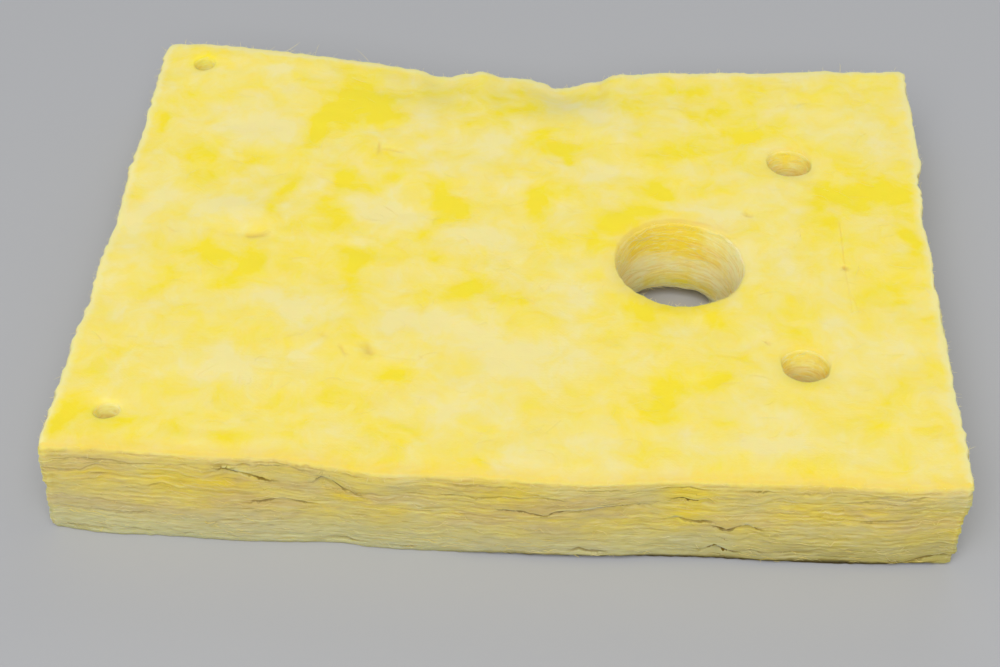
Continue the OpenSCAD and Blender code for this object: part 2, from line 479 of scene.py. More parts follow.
at_rear = smooth_step(outline[:, 1], rear_middle - 20, rear_middle - 5)
at_ends = smooth_step(abs(outline[:, 0]), right - 4, right - 1)
at_front = 1 - smooth_step(outline[:, 1], front_corner, front_corner + 12)
outer_wall = Wall(outline, 1.0, 24.0, 1.0 + 0.15 * at_front, 0.9 + 0.7 * at_rear + 0.5 * at_ends)
for side, paths in splits.items():
    for path, lip, tear in paths:
        outer_wall.open_split(side, path, lip, tear)

x, y = outline[:, :1], outline[:, 1:]
rows = outer_wall.rows
facing_right, facing_rear = outer_wall.out[:, :1], outer_wall.out[:, 1:]
facing_front = smooth_step(-facing_rear, 0.3, 0.8)
# the knife left the upright corners sharp, and the rear left one was knocked off at the rim
worn = ((x < 0) & (y > 0)) * smooth_step(rows, thickness - 6, thickness - 1)
ragged_corner = 2.0 + 1.1 * outer_wall.per_layer(0.5, 42) \
    + 0.5 * (row_kind == LIP) - 0.5 * (row_kind == FOOT)
sharp = (2 * facing_right * facing_rear) ** 2 * smooth_step(rows, 0, 2) * ragged_corner * (1 - worn)
# the front foot is rounded under, and along the right part of the front its lowest 4 mm are painted dark:
# painted shade for the shadow under the foot
foot_undercut = 1.4
rounded = smooth_step(x, -60, 20) * (1 - smooth_step(x, right - 16, right - 6)) * facing_front
tucked = foot_undercut * rounded * (1 - smooth_step(rows, 1.8, 2.8))
outer_wall.foot_shade = rounded * (((rows > 0) & (rows < 2.2)) + 0.85 * ((rows > 2.2) & (rows < 4.0)))
# the front side gets a band of painted shade at its rim
rim_shade = 0.5 * facing_front * smooth_step(rows, thickness - 1.9, thickness - 0.7) \
    * (1 - 0.4 * smooth_step(rows, thickness - 0.3, thickness))
outer_wall.finish(sharp - tucked, rim_shade)

hole_walls = []
for number, (x, y, radius) in enumerate(holes):
    is_burner, is_bolt = radius == burner_radius, radius == bolt_radius
    # the wool closed on each hole a little, and most on the smallest
    drawn_in = 1.2 if is_bolt else 0.5
    column_step = 2.5 if is_burner else 2.3
    rim = hole_outline(x, y, radius - drawn_in, column_step)
    # the tube dragged the rear of each rim down with it
    rounding = (0.7 if is_bolt else 0.5) \
        + (0.6 if is_bolt else 1.3) * smooth_step((rim[:, 1] - y) / radius, -0.2, 0.8)
    rim_shade = np.full(len(rim), 0.0 if is_bolt else 0.16)
    if is_burner:
        to_the_right = smooth_step((rim[:, 0] - x) / radius, 0.2, 0.9)
        rounding = rounding + 1.3 * to_the_right
        rim_shade = 0.34 * (1 - 0.8 * to_the_right)
    wall = Wall(rim, 0.4 if is_burner else 0.3, radius, rounding, 0.8, seed=40 * (number + 1))
    # a band of painted shade just under the rims of the burner hole and the pipe holes, least on the burner
    # hole's right
    rows = wall.rows
    rim_shade_band = smooth_step(rows, thickness - 12, thickness - 4) \
        * (1 + 0.8 * smooth_step(rows, thickness - 4, thickness - 2)) \
        * (1 - 0.7 * smooth_step(rows, thickness - 0.3, thickness))
    wall.finish(extra_shade=rim_shade[:, None] * rim_shade_band)
    hole_walls.append(wall)

# The tube broke some wool out of the underside behind the burner hole as it came through.
broken_out = 13.0
broken_height = 11.3
broken_heading = math.radians(102)
aslant = 3.0                # how far the foot of the burner hole lies to the left of its top
burner_swell = 3.0          # how far the wool swelled back into it, left and right
pipe_swell = 2.6            # and into the rear of the smaller holes
rear_bolt_swell = 2.8
front_bolt_swell = 1.4


def settle(points):
    """Carries the plain slab's points to where the used mat's are: pressed, leaning and drawn."""
    x, y, z = points.T.copy()
    share = z / thickness
    from_axis = np.hypot(x - burner_x, y - burner_y)
    heading = np.arctan2(y - burner_y, x - burner_x)

    def near_burner(reach):
        """Eases from 1 at the burner hole's wall to 0 at reach outside it."""
        return 1 - smooth_step(from_axis, burner_radius + 5, burner_radius + reach)

    ragged_z = z + 1.2 * lumps(x, y, 9, 53)
    broken = (broken_out * (1 - smooth_step(ragged_z, broken_height - 3, broken_height))
              * (1 - smooth_step(np.cos(heading - broken_heading), 0.93, 0.45))
              * smooth_step(from_axis, 20, burner_radius) * near_burner(65))
    swollen = burner_swell * smooth_step(thickness - z, 0, 20) * smooth_step(z, 6, 36) \
        * np.cos(heading) ** 2 * near_burner(40)
    x = x + (broken - swollen) * np.cos(heading) - aslant * (1 - share) * near_burner(70)
    y = y + (broken - swollen) * np.sin(heading)
    for hole_x, hole_y, radius in holes:
        if radius < burner_radius:
            bolt_swell = rear_bolt_swell if hole_y > 0 else front_bolt_swell
            swollen = pipe_swell if radius > bolt_radius else bolt_swell
            swollen = swollen * smooth_step(thickness - z, 0, 17) * smooth_step(z, 10, 40)
            beside = np.hypot(x - hole_x, y - hole_y - radius)
            y = y - swollen * (1 - smooth_step(beside, 4, 26))
    lean = (run_along(front_lean_x, front_lean_foot, x) * (1 - share)
            + run_along(front_lean_x, front_lean_top, x) * share)
    near_front = 1 - smooth_step(y, front_crest, front_corner + 75)
    near_right = smooth_step(x, right - 60, right)
    near_left = 1 - smooth_step(x, left, left + 60)
    pulled = (run_along(right_in_y, right_in, y) + 0.5 * drift(x, y, z, (400, 35, 30), 51)
              + 4.0 * (1 - share) * np.exp(-((y - front_corner) / 60) ** 2)
              + 1.5 * (1 - smooth_step(z, 8.5, 10.5)) * np.exp(-((y - front_corner) / 70) ** 2))
    pushed = run_along(left_in_y, left_in, y) + 0.5 * drift(x, y, z, (400, 40, 30), 52)
    x = x - pulled * near_right + pushed * near_left
    y = y - lean * near_front
    # the foot of the slab stays on the floor, and every layer takes its share of the rest
    z = z * (1 + pressed_height(x, y) / thickness)
    return np.column_stack([x, y, z])


# The top face and the underside are sheets of triangles between the walls' end rows.
top_spacing = 3.75
underside_spacing = 8.0
edge_room = 0.62            # how far the points keep from a wall, as a share of their spacing
scatter = 0.16              # and how far each is off its regular place
tear_spacing = 0.45         # how close the points lie along the small tears


def sheet_points(spacing, row):
    """Points spread over a face, clear of the walls' end rows and of each other."""
    rng = np.random.default_rng(int(spacing * 100))
    down = spacing * math.sqrt(3) / 2
    x, y = np.meshgrid(np.arange(left, right, spacing), np.arange(front_crest, rear_corner, down))
    x[1::2] += spacing / 2
    points = np.column_stack([x.ravel(), y.ravel()])
    points += rng.uniform(-scatter, scatter, points.shape) * spacing
    x, y = points.T
    between_points = edge_room * spacing
    clear = row_inset[row] + outer_wall.frayed.max() / 2 + between_points + (0 if row else foot_undercut)
    keep = ((x > left + clear) & (x < right - clear)
            & (y > front_edge(x) + clear) & (y < rear_edge(x) - clear))
    for (hole_x, hole_y, radius), wall in zip(holes, hole_walls):
        room = wall.inset[:, row].max() + wall.frayed.max() + between_points
        keep &= np.hypot(x - hole_x, y - hole_y) > radius + room
    return points[keep]


def nick_points():
    """Closer points along each small tear of the top face."""
    spots = []
    for path, width, _ in nicks:
        for (ax, ay), (bx, by) in zip(path[:-1], path[1:]):
            length = math.hypot(bx - ax, by - ay)
            nx, ny = -(by - ay) / length, (bx - ax) / length
            for t in np.linspace(0, 1, max(2, round(length / 1.6))):
                for aside in (-2.2, -1.2, -0.5, 0, 0.5, 1.2, 2.2):
                    spots.append((ax + t * (bx - ax) + nx * aside * width,
                                  ay + t * (by - ay) + ny * aside * width))
    return np.array(spots)


def thinned(points, room):
    """Drops each point that lies closer than room to one already kept."""
    cells, kept = set(), []
    for number, (x, y) in enumerate(points):
        cell = (round(x / room), round(y / room))
        if cell not in cells:
            cells.add(cell)
            kept.append(number)
    return points[kept]


def ring_radius(ring, x, y, headings):
    """How far a hole's ragged rim is from its axis, in each of the given directions."""
    around = np.arctan2(ring[:, 1] - y, ring[:, 0] - x)
    order = np.argsort(around)
    return np.interp(headings, around[order], np.hypot(ring[:, 0] - x, ring[:, 1] - y)[order],
                     period=2 * math.pi)


def face_triangles(rings, inner):
    """Triangles of a face with holes. rings are its closed outlines, inner its loose points."""
    edges, start = [], 0
    for ring in rings:
        count = len(ring)
        edges += [(start + i, start + (i + 1) % count) for i in range(count)]
        start += count
    flat = np.vstack(rings + [inner])
    verts, _, faces, origin, _, _ = delaunay_2d_cdt([Vector(p) for p in flat], edges, [], 1, 1e-6)
    if len(verts) != len(flat):
        raise ValueError("the face's outlines and points meet each other")
    source = np.array([o[0] for o in origin])
    faces = source[np.array(faces)]
    middle = flat[faces].mean(axis=1)
    for (x, y, radius), ring in zip(holes, rings[1:]):
        away = middle - (x, y)
        solid = np.hypot(*away.T) > ring_radius(ring, x, y, np.arctan2(away[:, 1], away[:, 0]))
        faces, middle = faces[solid], middle[solid]
    return faces


walls = [outer_wall] + hole_walls
first_of_wall = np.cumsum([0] + [len(w.plan) * row_count for w in walls])
parts = [w.points.reshape(-1, 3) for w in walls]
quads = []
for wall, first in zip(walls, first_of_wall):
    i = np.arange(len(wall.plan))[:, None] * row_count
    j = np.roll(i, -1, axis=0)
    k = np.arange(row_count - 1)[None, :]
    quads.append(first + np.stack([i + k, j + k, j + k + 1, i + k + 1], -1).reshape(-1, 4))
triangles = []
wall_total = first_of_wall[-1]
next_vertex = wall_total
for row, spacing, height in ((row_count - 1, top_spacing, thickness), (0, underside_spacing, 0.0)):
    rings = [w.points[:, row, :2] for w in walls]
    ring_ids = [first + np.arange(len(w.plan)) * row_count + row for w, first in zip(walls, first_of_wall)]
    inner = sheet_points(spacing, row)
    if row:
        far = np.full(len(inner), np.inf)
        for path, width, _ in nicks:
            far = np.minimum(far, distance_to_path(*inner.T, path) - 2.6 * width)
        inner = np.vstack([inner[far > 0], thinned(nick_points(), tear_spacing)])
    flat = np.vstack(rings + [inner])
    ids = np.concatenate(ring_ids + [next_vertex + np.arange(len(inner))])
    faces = face_triangles(rings, inner)
    a, b, c = np.moveaxis(flat[faces], 1, 0)
    turn = (b[:, 0] - a[:, 0]) * (c[:, 1] - a[:, 1]) - (b[:, 1] - a[:, 1]) * (c[:, 0] - a[:, 0])
    wrong = (turn < 0) if row else (turn > 0)
    faces[wrong] = faces[wrong][:, ::-1]
    triangles.append(ids[faces])
    parts.append(np.column_stack([inner, np.full(len(inner), height)]))
    next_vertex += len(inner)

plain = np.vstack(parts)
placed = settle(plain)
x, y, z = plain.T
on_top = z > thickness - 0.01
placed[on_top, 2] -= nick_depth(*placed[on_top, :2].T)
# the underside isn't quite flat, so only parts of it touch the floor
under = z < 0.01
rise = 0.5 + 0.35 * lumps(x, y, 45, 61) + 0.15 * lumps(x, y, 14, 62)
placed[under, 2] += np.clip(rise[under], 0, None)


def smooth_object(name, points, quads, triangles):
    """A smooth mesh object from points in millimetres, four-sided faces and triangles."""
    mesh = bpy.data.meshes.new(name)
    loops = np.concatenate([quads.ravel(), triangles.ravel()])
    starts = np.concatenate([np.arange(len(quads)) * 4, len(quads) * 4 + np.arange(len(triangles)) * 3])
    mesh.vertices.add(len(points))
    mesh.vertices.foreach_set("co", (points * MM).ravel())
    mesh.loops.add(len(loops))
    mesh.loops.foreach_set("vertex_index", loops)
    mesh.polygons.add(len(starts))
    mesh.polygons.foreach_set("loop_start", starts)
    mesh.update(calc_edges=True)
    mesh.validate()
    mesh.polygons.foreach_set("use_smooth", np.ones(len(mesh.polygons), bool))
    made = bpy.data.objects.new(name, mesh)
    bpy.context.scene.collection.objects.link(made)
    return made


mat = smooth_object("glass_wool_mat", placed, np.vstack(quads), np.vstack(triangles))
mat_mesh = mat.data


def paint(mesh, name, values):
    """Stores one number, or one vector, for each vertex, for the material to read."""
    kind = "FLOAT" if values.ndim == 1 else "FLOAT_VECTOR"
    layer = mesh.attributes.new(name, kind, "POINT")
    layer.data.foreach_set("value" if values.ndim == 1 else "vector", values.astype(np.float32).ravel())


# Blotches of binder in the top face: centre x and y, half length along x and y, and strength.
# Above nought the wool is soaked to a deep yellow, and below it is left pale.
blotches = [
    (-135, 153, 34, 28, 1.0), (-160, 122, 10, 22, 0.9), (-137, 68, 15, 17, 1.0), (-137, 30, 12, 16, 0.9),
    (-177, 38, 8, 22, 1.0), (-100, 62, 16, 12, 0.8), (-68, 12, 9, 22, 0.9), (-48, 38, 12, 16, 0.7),
    (12, 50, 15, 24, 0.9), (28, 100, 6, 6, 1.3), (-82, 120, 8, 7, 1.1), (-212, -34, 26, 22, 0.9),
    (-115, -27, 24, 16, 0.8), (-24, -57, 26, 14, 0.7), (74, 30, 18, 15, 0.8), (115, 108, 15, 24, 0.7),
    (101, 62, 11, 8, 1.1), (258, 74, 38, 15, 1.2), (221, 40, 14, 22, 0.9), (288, 14, 9, 13, 1.1),
    (150, 164, 18, 16, 0.8), (20, 120, 14, 14, 0.8), (-25, 168, 26, 18, 0.6), (105, -162, 24, 26, 0.8),
    (140, -137, 12, 10, 0.6), (186, -150, 14, 10, 0.5), (211, -96, 11, 14, 0.1), (235, -168, 18, 10, 0.6),
    (-282, -192, 15, 16, 0.7), (-244, -198, 14, 9, 0.8), (-184, -202, 18, 8, 0.5), (-134, -172, 22, 12, 0.5),
    (122, -72, 34, 13, 0.7), (270, -34, 16, 22, 0.6), (190, -56, 14, 12, 0.4), (-238, 98, 12, 18, 0.7),
    (-288, 122, 8, 11, 0.9), (-200, 84, 24, 9, 0.5), (-108, -72, 13, 16, 0.6), (116, 194, 56, 10, 0.5),
    (-266, 203, 18, 14, 0.8), (52, 6, 22, 12, 0.4), (-70, -142, 12, 12, 0.5), (-232, 70, 16, 8, 0.5),
    (-60, 60, 10, 26, 0.6), (40, 182, 8, 16, 0.3), (165, 132, 26, 10, 0.5), (235, 118, 20, 22, 0.4),
    (-210, 128, 34, 30, -0.9), (-220, 28, 32, 20, -0.9), (-282, 10, 12, 60, -0.8), (-100, 28, 26, 22, -1.0),
    (-162, 47, 9, 14, -0.7), (-30, 3, 20, 22, -0.8), (-80, 132, 12, 26, -0.9), (-20, 116, 20, 14, -0.8),
    (42, 170, 14, 18, -0.8), (146, 44, 22, 18, -0.7), (56, 82, 14, 12, -0.6), (-52, -92, 40, 14, -0.9),
    (0, -122, 56, 30, -0.7), (-158, -76, 28, 9, -0.9), (-190, -138, 36, 18, -0.8), (-145, -116, 16, 9, -0.9),
    (170, -168, 24, 18, -0.7), (42, -52, 18, 18, -0.8), (250, -102, 30, 30, -0.5), (255, 150, 34, 26, -0.5),
    (192, 62, 12, 14, -0.5), (-30, -172, 22, 14, -0.7), (40, -206, 60, 14, -0.4), (165, -196, 40, 12, -0.6),
    (-252, -88, 22, 12, -0.5), (-60, 92, 16, 12, -0.5), (95, -205, 20, 10, 0.3), (-255, 170, 16, 12, -0.4),
    (-205, 198, 26, 8, -0.4), (190, 222, 60, 5, -0.7), (-190, 222, 70, 5, -0.9), (190, 8, 16, 26, -0.4),
    (-8, 60, 8, 20, -0.6), (84, 140, 20, 14, -0.5), (104, 35, 20, 5, 0.9), (66, 20, 8, 10, 0.5),
    (170, -12, 9, 22, -0.6),
]


def blotch_strength(x, y):
    """How deep the binder's yellow is on the top face, about nought on the whole."""
    bent_x = x + 9 * lumps(x, y, 30, 71) + 4 * lumps(x, y, 12, 72)
    bent_y = y + 9 * lumps(x, y, 30, 73) + 4 * lumps(x, y, 12, 74)
    total = np.zeros(np.shape(x))
    for bx, by, half_x, half_y, strength in blotches:
        total += strength * np.exp(-((bent_x - bx) / half_x) ** 2 - ((bent_y - by) / half_y) ** 2)
    return total


# Pockets of fresh binder in the front side: centre x and height, half width and half height,
# and strength.
front_pockets = [
    (-182, 51, 17, 7, 1.3), (-99, 49, 13, 4.5, 1.2), (121, 62, 17, 6, 1.1), (122, 47, 18, 6, 1.0),
    (-264, 51, 30, 7, 0.7), (20, 52, 22, 6, 0.4), (70, 50, 26, 5, 0.4), (235, 48, 18, 6, 0.4),
    (150, 38, 16, 5, 0.4), (-140, 44, 22, 4, 0.3), (158, 20, 10, 3, 0.5)]


def gather(name, elsewhere=0.0):
    """A value that the walls keep for their points, with one value for all the other points."""
    return np.concatenate([getattr(wall, name).ravel() for wall in walls]
                          + [np.full(len(plain) - wall_total, elsewhere)])


is_wall = np.arange(len(plain)) < wall_total
# the yellow of the top face runs a little way down the sides
cut = is_wall * smooth_step(z, 0, 1.5) * (1 - smooth_step(z, thickness - 1.9, thickness + 0.1)) \
    * (1 - 0.45 * smooth_step(z, thickness - 14, thickness - 1))
in_hole = np.zeros(len(plain))
hole_binder = np.zeros(len(plain))
for (hole_x, hole_y, radius), first, last in zip(holes, first_of_wall[1:], first_of_wall[2:]):
    own = slice(first, last)
    height = z[own]
    in_hole[own] = 1
    heading = np.degrees(np.arctan2(y[own] - hole_y, x[own] - hole_x))
    heading = heading + 10 * drift(x[own], y[own], height, (20, 20, 20), 83)
    if radius == burner_radius:
        # the rear of the burner hole went through wool that was soaked with binder
        soaked = (1.6 * np.exp(-((heading - 112) / 55) ** 2) * smooth_step(height, 40, 60)
                  + 1.0 * np.exp(-((heading - 70) / 32) ** 2 - ((height - 47) / 9) ** 2)
                  + 1.0 * np.exp(-((heading - 85) / 45) ** 2 - ((height - 17) / 10) ** 2)
                  - 0.35 * np.exp(-((heading - 5) / 38) ** 2) - 0.45)
    elif radius > bolt_radius:
        soaked = 0.5 * smooth_step(height, 50, 68) - 0.1
    else:
        soaked = 0.5 if hole_y > 0 else 0.15
    hole_binder[own] = soaked
cut[in_hole == 1] = 0
deep_binder = 0.55 * drift(x, y, z, (70, 70, 16), 81) + 0.4 * drift(x, y, z, (24, 24, 7), 82) \
    + 0.5 * gather("pocket")
behind_front = y >= front_corner + 4
on_front = is_wall & ~behind_front & (in_hole == 0)
for pocket_x, pocket_z, half_x, half_z, strength in front_pockets:
    pocket = np.exp(-((x - pocket_x) / half_x) ** 2 - ((z - pocket_z) / half_z) ** 2)
    deep_binder += on_front * strength * pocket
underside_binder = 0.8 * drift(x, y, 0, (48, 40, 40), 91) + 0.5 * drift(x, y, 0, (20, 17, 20), 92)
on_face = np.where(z > thickness / 2, blotch_strength(x, y), underside_binder)
in_bore = in_hole * (1 - smooth_step(z, thickness - 3.5, thickness + 0.5))
# loose fibres with little binder on them stand along the rims of the ends and the rear
pale_rim = is_wall & (in_hole == 0) & (z > thickness - 3) & behind_front
own_binder = in_bore * hole_binder + (1 - in_bore) * (cut * deep_binder + (1 - cut) * on_face) \
    - pale_rim * np.where(z > thickness - 0.1, 0.8, 1.6)
# the small tears get painted shade, and the top face is painted darker in a band along its front rim
on_top_sheet = ~is_wall & on_top
tear_shade = on_top_sheet * np.clip(nick_depth(*placed[:, :2].T) / 2.4, 0, 0.75)
front_band = on_top_sheet * 0.2 * (1 - smooth_step(y - front_edge(x), 1, 13))
paint(mat_mesh, "binder", 0.5 + 0.5 * own_binder)
paint(mat_mesh, "cut", cut)
paint(mat_mesh, "crease", gather("crease") + tear_shade + front_band)
paint(mat_mesh, "crack_depth", gather("crack_depth"))
paint(mat_mesh, "foot_shade", gather("foot_shade"))
paint(mat_mesh, "from_crack", gather("from_crack", far_from_split))
layer_z = np.concatenate([wall.rows.ravel() for wall in walls] + [z[wall_total:]])
paint(mat_mesh, "layers", np.column_stack([x, y, layer_z]) * MM)


# The functions below add to the node tree that is being built, which is always called tree.
def place(kind, links=None, **settings):
    """Adds a node, sets it, and links or sets each of the inputs that are named or numbered."""
    node = tree.nodes.new(kind)
    for name, value in settings.items():
        setattr(node, name, value)
    for key, source in (links or {}).items():
        if isinstance(source, (int, float, tuple)):
            node.inputs[key].default_value = source
        else:
            tree.links.new(source, node.inputs[key])
    return node


def combine(operation, *values, clamp=False):
    """The result of a math node on numbers or sockets."""
    return place("ShaderNodeMath", dict(enumerate(values)), operation=operation, use_clamp=clamp).outputs[0]


def times(first, second):
    return combine("MULTIPLY", first, second)


def plus(first, second):
    return combine("ADD", first, second)


def minus(first, second):
    return combine("SUBTRACT", first, second)


def between(value, low, high):
    """Runs from 0 at low to 1 at high."""
    return place("ShaderNodeMapRange", {0: value, 1: low, 2: high}).outputs[0]


def blend_colour(share, first, second):
    """The first colour where share is 0, and the second where it is 1."""
    return place("ShaderNodeMix", {0: share, 6: first, 7: second}, data_type="RGBA").outputs[2]


def painted(name, kind="Fac"):
    """What was stored on the mesh under a name: a number, or a Vector."""
    return place("ShaderNodeAttribute", attribute_name=name, attribute_type="GEOMETRY").outputs[kind]


def new_group(name, inputs, output):
    """A node group that turns a place and some numbers into one number, for any material."""
    group = bpy.data.node_groups.new(name, "ShaderNodeTree")
    group.interface.new_socket(name="Place", in_out="INPUT", socket_type="NodeSocketVector")
    for label, value in inputs.items():
        socket = group.interface.new_socket(name=label, in_out="INPUT", socket_type="NodeSocketFloat")
        socket.default_value = value
    group.interface.new_socket(name=output, in_out="OUTPUT", socket_type="NodeSocketFloat")
    return group, group.nodes.new("NodeGroupInput").outputs, group.nodes.new("NodeGroupOutput").inputs


# Fine fibres: streaks of a given length and width, lying at an angle to the mat's length.
tree, given, result = new_group(
    "fibre grain", {"Length": 0.02, "Width": 0.001, "Angle": 0.0}, "Streak")
fibre_grain = tree
turned = place("ShaderNodeVectorRotate", {"Vector": given["Place"], "Angle": given["Angle"]},
               rotation_type="Z_AXIS")
bent = place("ShaderNodeTexNoise", {"Vector": given["Place"], "Scale": 55.0, "Detail": 1.0})
off = place("ShaderNodeVectorMath", {0: bent.outputs["Color"], 1: (0.004, 0.004, 0.0)},
            operation="MULTIPLY")
moved = place("ShaderNodeVectorMath", {0: turned.outputs[0], 1: off.outputs[0]}, operation="ADD")
axes = place("ShaderNodeSeparateXYZ", {0: moved.outputs[0]}).outputs
drawn = place("ShaderNodeCombineXYZ", {
    n: combine("DIVIDE", axes[n], given["Width" if n else "Length"]) for n in range(3)})
streak = place("ShaderNodeTexNoise", {"Vector": drawn.outputs[0], "Scale": 1.0, "Detail": 2.0,
                                      "Roughness": 0.6})
tree.links.new(streak.outputs["Fac"], result["Streak"])

# Wool mottled by its binder: soft cloudy blotches on top of what was painted on the mesh.
tree, given, result = new_group(
    "binder mottling", {"Binder": 0.5, "Blotch Size": 0.03, "Contrast": 1.0}, "Amount")
mottling = tree
clouds = place("ShaderNodeTexNoise", {
    "Vector": given["Place"], "Scale": combine("DIVIDE", 1.0, given["Blotch Size"]), "Detail": 5.0,
    "Roughness": 0.62, "Distortion": 0.4})
spread = times(minus(clouds.outputs["Fac"], 0.5), given["Contrast"])
tree.links.new(combine("ADD", given["Binder"], spread, clamp=True), result["Amount"])


def grain(where, length, width, angle):
    """Streaks of fine fibres that lie one way."""
    return place("ShaderNodeGroup", {"Place": where, "Length": length, "Width": width, "Angle": angle},
                 node_tree=fibre_grain).outputs["Streak"]


def mottled(where, binder, blotch_size, contrast):
    """How deep the binder's yellow is, from the value painted on the mesh and the cloudy blotches."""
    return place("ShaderNodeGroup", {"Place": where, "Binder": binder, "Blotch Size": blotch_size,
                                     "Contrast": contrast}, node_tree=mottling).outputs["Amount"]


def layer_noise(along, across, detail):
    """Noise drawn out along the layers. along and across are how many lumps there are to a metre."""
    drawn_out = place("ShaderNodeMapping", {"Vector": layers, "Scale": (along, along, across)})
    return place("ShaderNodeTexNoise", {"Vector": drawn_out.outputs[0], "Scale": 1.0, "Detail": detail,
                                        "Roughness": 0.65}).outputs["Fac"]


def new_finish(name, roughness, specular):
    """A new material, its node tree and the inputs of its shader."""
    material = bpy.data.materials.new(name)
    material.use_nodes = True
    shader = material.node_tree.nodes["Principled BSDF"].inputs
    shader["Roughness"].default_value = roughness
    shader["Specular IOR Level"].default_value = specular
    return material, material.node_tree, shader


def let_light_in(shader, radius, scale):
    """Lets light sink into the wool and come out a little further on."""
    shader["Subsurface Weight"].default_value = 1.0
    shader["Subsurface Radius"].default_value = radius
    shader["Subsurface Scale"].default_value = scale


# The skin is the wool of the two flat faces, and the cut is that of the four sides. The cut colours are
# darker than the skin's: partly the cut wool's own colour, and partly painted shade for the dimmer light on
# the sides.
pale_skin = (0.885, 0.77, 0.32, 1)
deep_skin = (0.94, 0.74, 0.045, 1)
shaded_skin = (0.70, 0.50, 0.12, 1)
pale_cut = (0.59, 0.525, 0.255, 1)
deep_cut = (0.735, 0.565, 0.07, 1)
low_cut = (0.49, 0.485, 0.28, 1)
low_cut_right = (0.345, 0.32, 0.12, 1)
tan_cut = (0.57, 0.435, 0.19, 1)
groove_shade = (0.50, 0.36, 0.05, 1)
dark_line = (0.37, 0.265, 0.03, 1)
pale_fibre = (0.76, 0.71, 0.42, 1)
split_shade = (0.19, 0.115, 0.012, 1)
foot_shade_colour = (0.07, 0.05, 0.015, 1)

wool, tree, shader = new_finish("glass wool", 0.95, 0.1)
let_light_in(shader, (1.0, 0.8, 0.4), 0.009)
here = place("ShaderNodeTexCoord").outputs["Object"]
layers = painted("layers", "Vector")
cut_share = painted("cut")
crease = painted("crease")
along_layers, _, layer_place = place("ShaderNodeSeparateXYZ", {0: layers}).outputs
layer_streaks = layer_noise(60.0, 560.0, 3.0)
layer_bands = layer_noise(20.0, 210.0, 3.0)
layer_wisps = layer_noise(45.0, 460.0, 4.0)

skin_binder = between(mottled(here, painted("binder"), 0.026, 1.5), 0.16, 0.84)
skin_colour = blend_colour(skin_binder, pale_skin, deep_skin)
# painted shade in the small tears and at the front rim, and the darker band along the front rim, darken the
# skin
skin_colour = blend_colour(crease, skin_colour, shaded_skin)

cut_colour = blend_colour(mottled(layers, painted("binder"), 0.02, 1.1), pale_cut, deep_cut)
tan_share = times(between(layer_noise(14.0, 60.0, 4.0), 0.49, 0.62), 0.75)
cut_colour = blend_colour(tan_share, cut_colour, tan_cut)
low_colour = blend_colour(between(along_layers, 0.06, 0.22), low_cut, low_cut_right)
cut_colour = blend_colour(times(between(layer_place, 0.036, 0.008), 0.75), cut_colour, low_colour)
cut_colour = blend_colour(times(between(layer_streaks, 0.48, 0.28), 0.36), cut_colour, dark_line)
cut_colour = blend_colour(times(between(layer_wisps, 0.53, 0.72), 0.38), cut_colour, pale_fibre)
# painted shade in the grooves between the layers and at the front rim
cut_colour = blend_colour(times(crease, 0.45), cut_colour, groove_shade)
colour = blend_colour(cut_share, skin_colour, cut_colour)

# the splits get painted shade: dark lines with ragged edges, and the deeper ones are wider
jagged = plus(times(minus(layer_wisps, 0.5), 3.5), times(minus(layer_noise(230.0, 90.0, 2.0), 0.5), 5.0))
ragged_line = plus(painted("from_crack"), jagged)
crack_depth = painted("crack_depth")
crack_foot = plus(ragged_line, times(crack_depth, 1.2))
crack_line = times(between(ragged_line, 0.9, 0.2), between(crack_foot, -0.9, -0.2))
colour = blend_colour(times(crack_line, crack_depth), colour, split_shade)
# painted shade: the right part of the front foot is painted nearly black
colour = blend_colour(painted("foot_shade"), colour, foot_shade_colour)
tree.links.new(colour, shader["Base Color"])

crossed = plus(grain(here, 0.022, 0.0013, 0.0), plus(grain(here, 0.015, 0.0011, 0.7),
                                                     grain(here, 0.015, 0.0011, -0.6)))
skin_height = times(times(crossed, 0.22), minus(1.0, cut_share))
lines = plus(times(layer_streaks, 1.6), plus(layer_wisps, times(layer_bands, 1.6)))
relief = place("ShaderNodeBump", {"Height": plus(skin_height, times(lines, cut_share)), "Strength": 0.38,
                                  "Distance": 0.0012})
tree.links.new(relief.outputs[0], shader["Normal"])
mat_mesh.materials.append(wool)

# The holes' walls are painted paler and brighter than the cut sides: painted light for the glow in the
# holes. The light that sinks in at the top face also comes out there.
pale_bore = (1.0, 0.88, 0.48, 1)
deep_bore = (1.0, 0.75, 0.07, 1)
bore_line = (0.80, 0.55, 0.13, 1)
bore_fibre = (1.0, 0.93, 0.60, 1)
bore_rim_shade = (0.85, 0.60, 0.12, 1)

bored_wool, tree, shader = new_finish("bored glass wool", 0.95, 0.1)
let_light_in(shader, (1.0, 0.8, 0.5), 0.045)
layers = painted("layers", "Vector")
swept_lines = layer_noise(100.0, 480.0, 4.0)
bore_binder = between(mottled(layers, painted("binder"), 0.012, 1.2), 0.2, 0.9)
colour = blend_colour(bore_binder, pale_bore, deep_bore)
colour = blend_colour(times(between(swept_lines, 0.48, 0.32), 0.3), colour, bore_line)
colour = blend_colour(times(between(swept_lines, 0.53, 0.66), 0.5), colour, bore_fibre)
# painted shade in the band under the rims
colour = blend_colour(painted("crease"), colour, bore_rim_shade)
tree.links.new(colour, shader["Base Color"])
relief = place("ShaderNodeBump", {"Height": swept_lines, "Strength": 0.4, "Distance": 0.001})
tree.links.new(relief.outputs[0], shader["Normal"])
mat_mesh.materials.append(bored_wool)
slots = np.zeros(len(mat_mesh.polygons), np.int32)
in_holes = np.arange(len(quads[0]), sum(len(q) for q in quads))
step_up = in_holes % (row_count - 1)
slots[in_holes] = (step_up > 1) & (step_up < row_count - 4)
mat_mesh.polygons.foreach_set("material_index", slots)

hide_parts("insulation_mat")
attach(mat, "root")

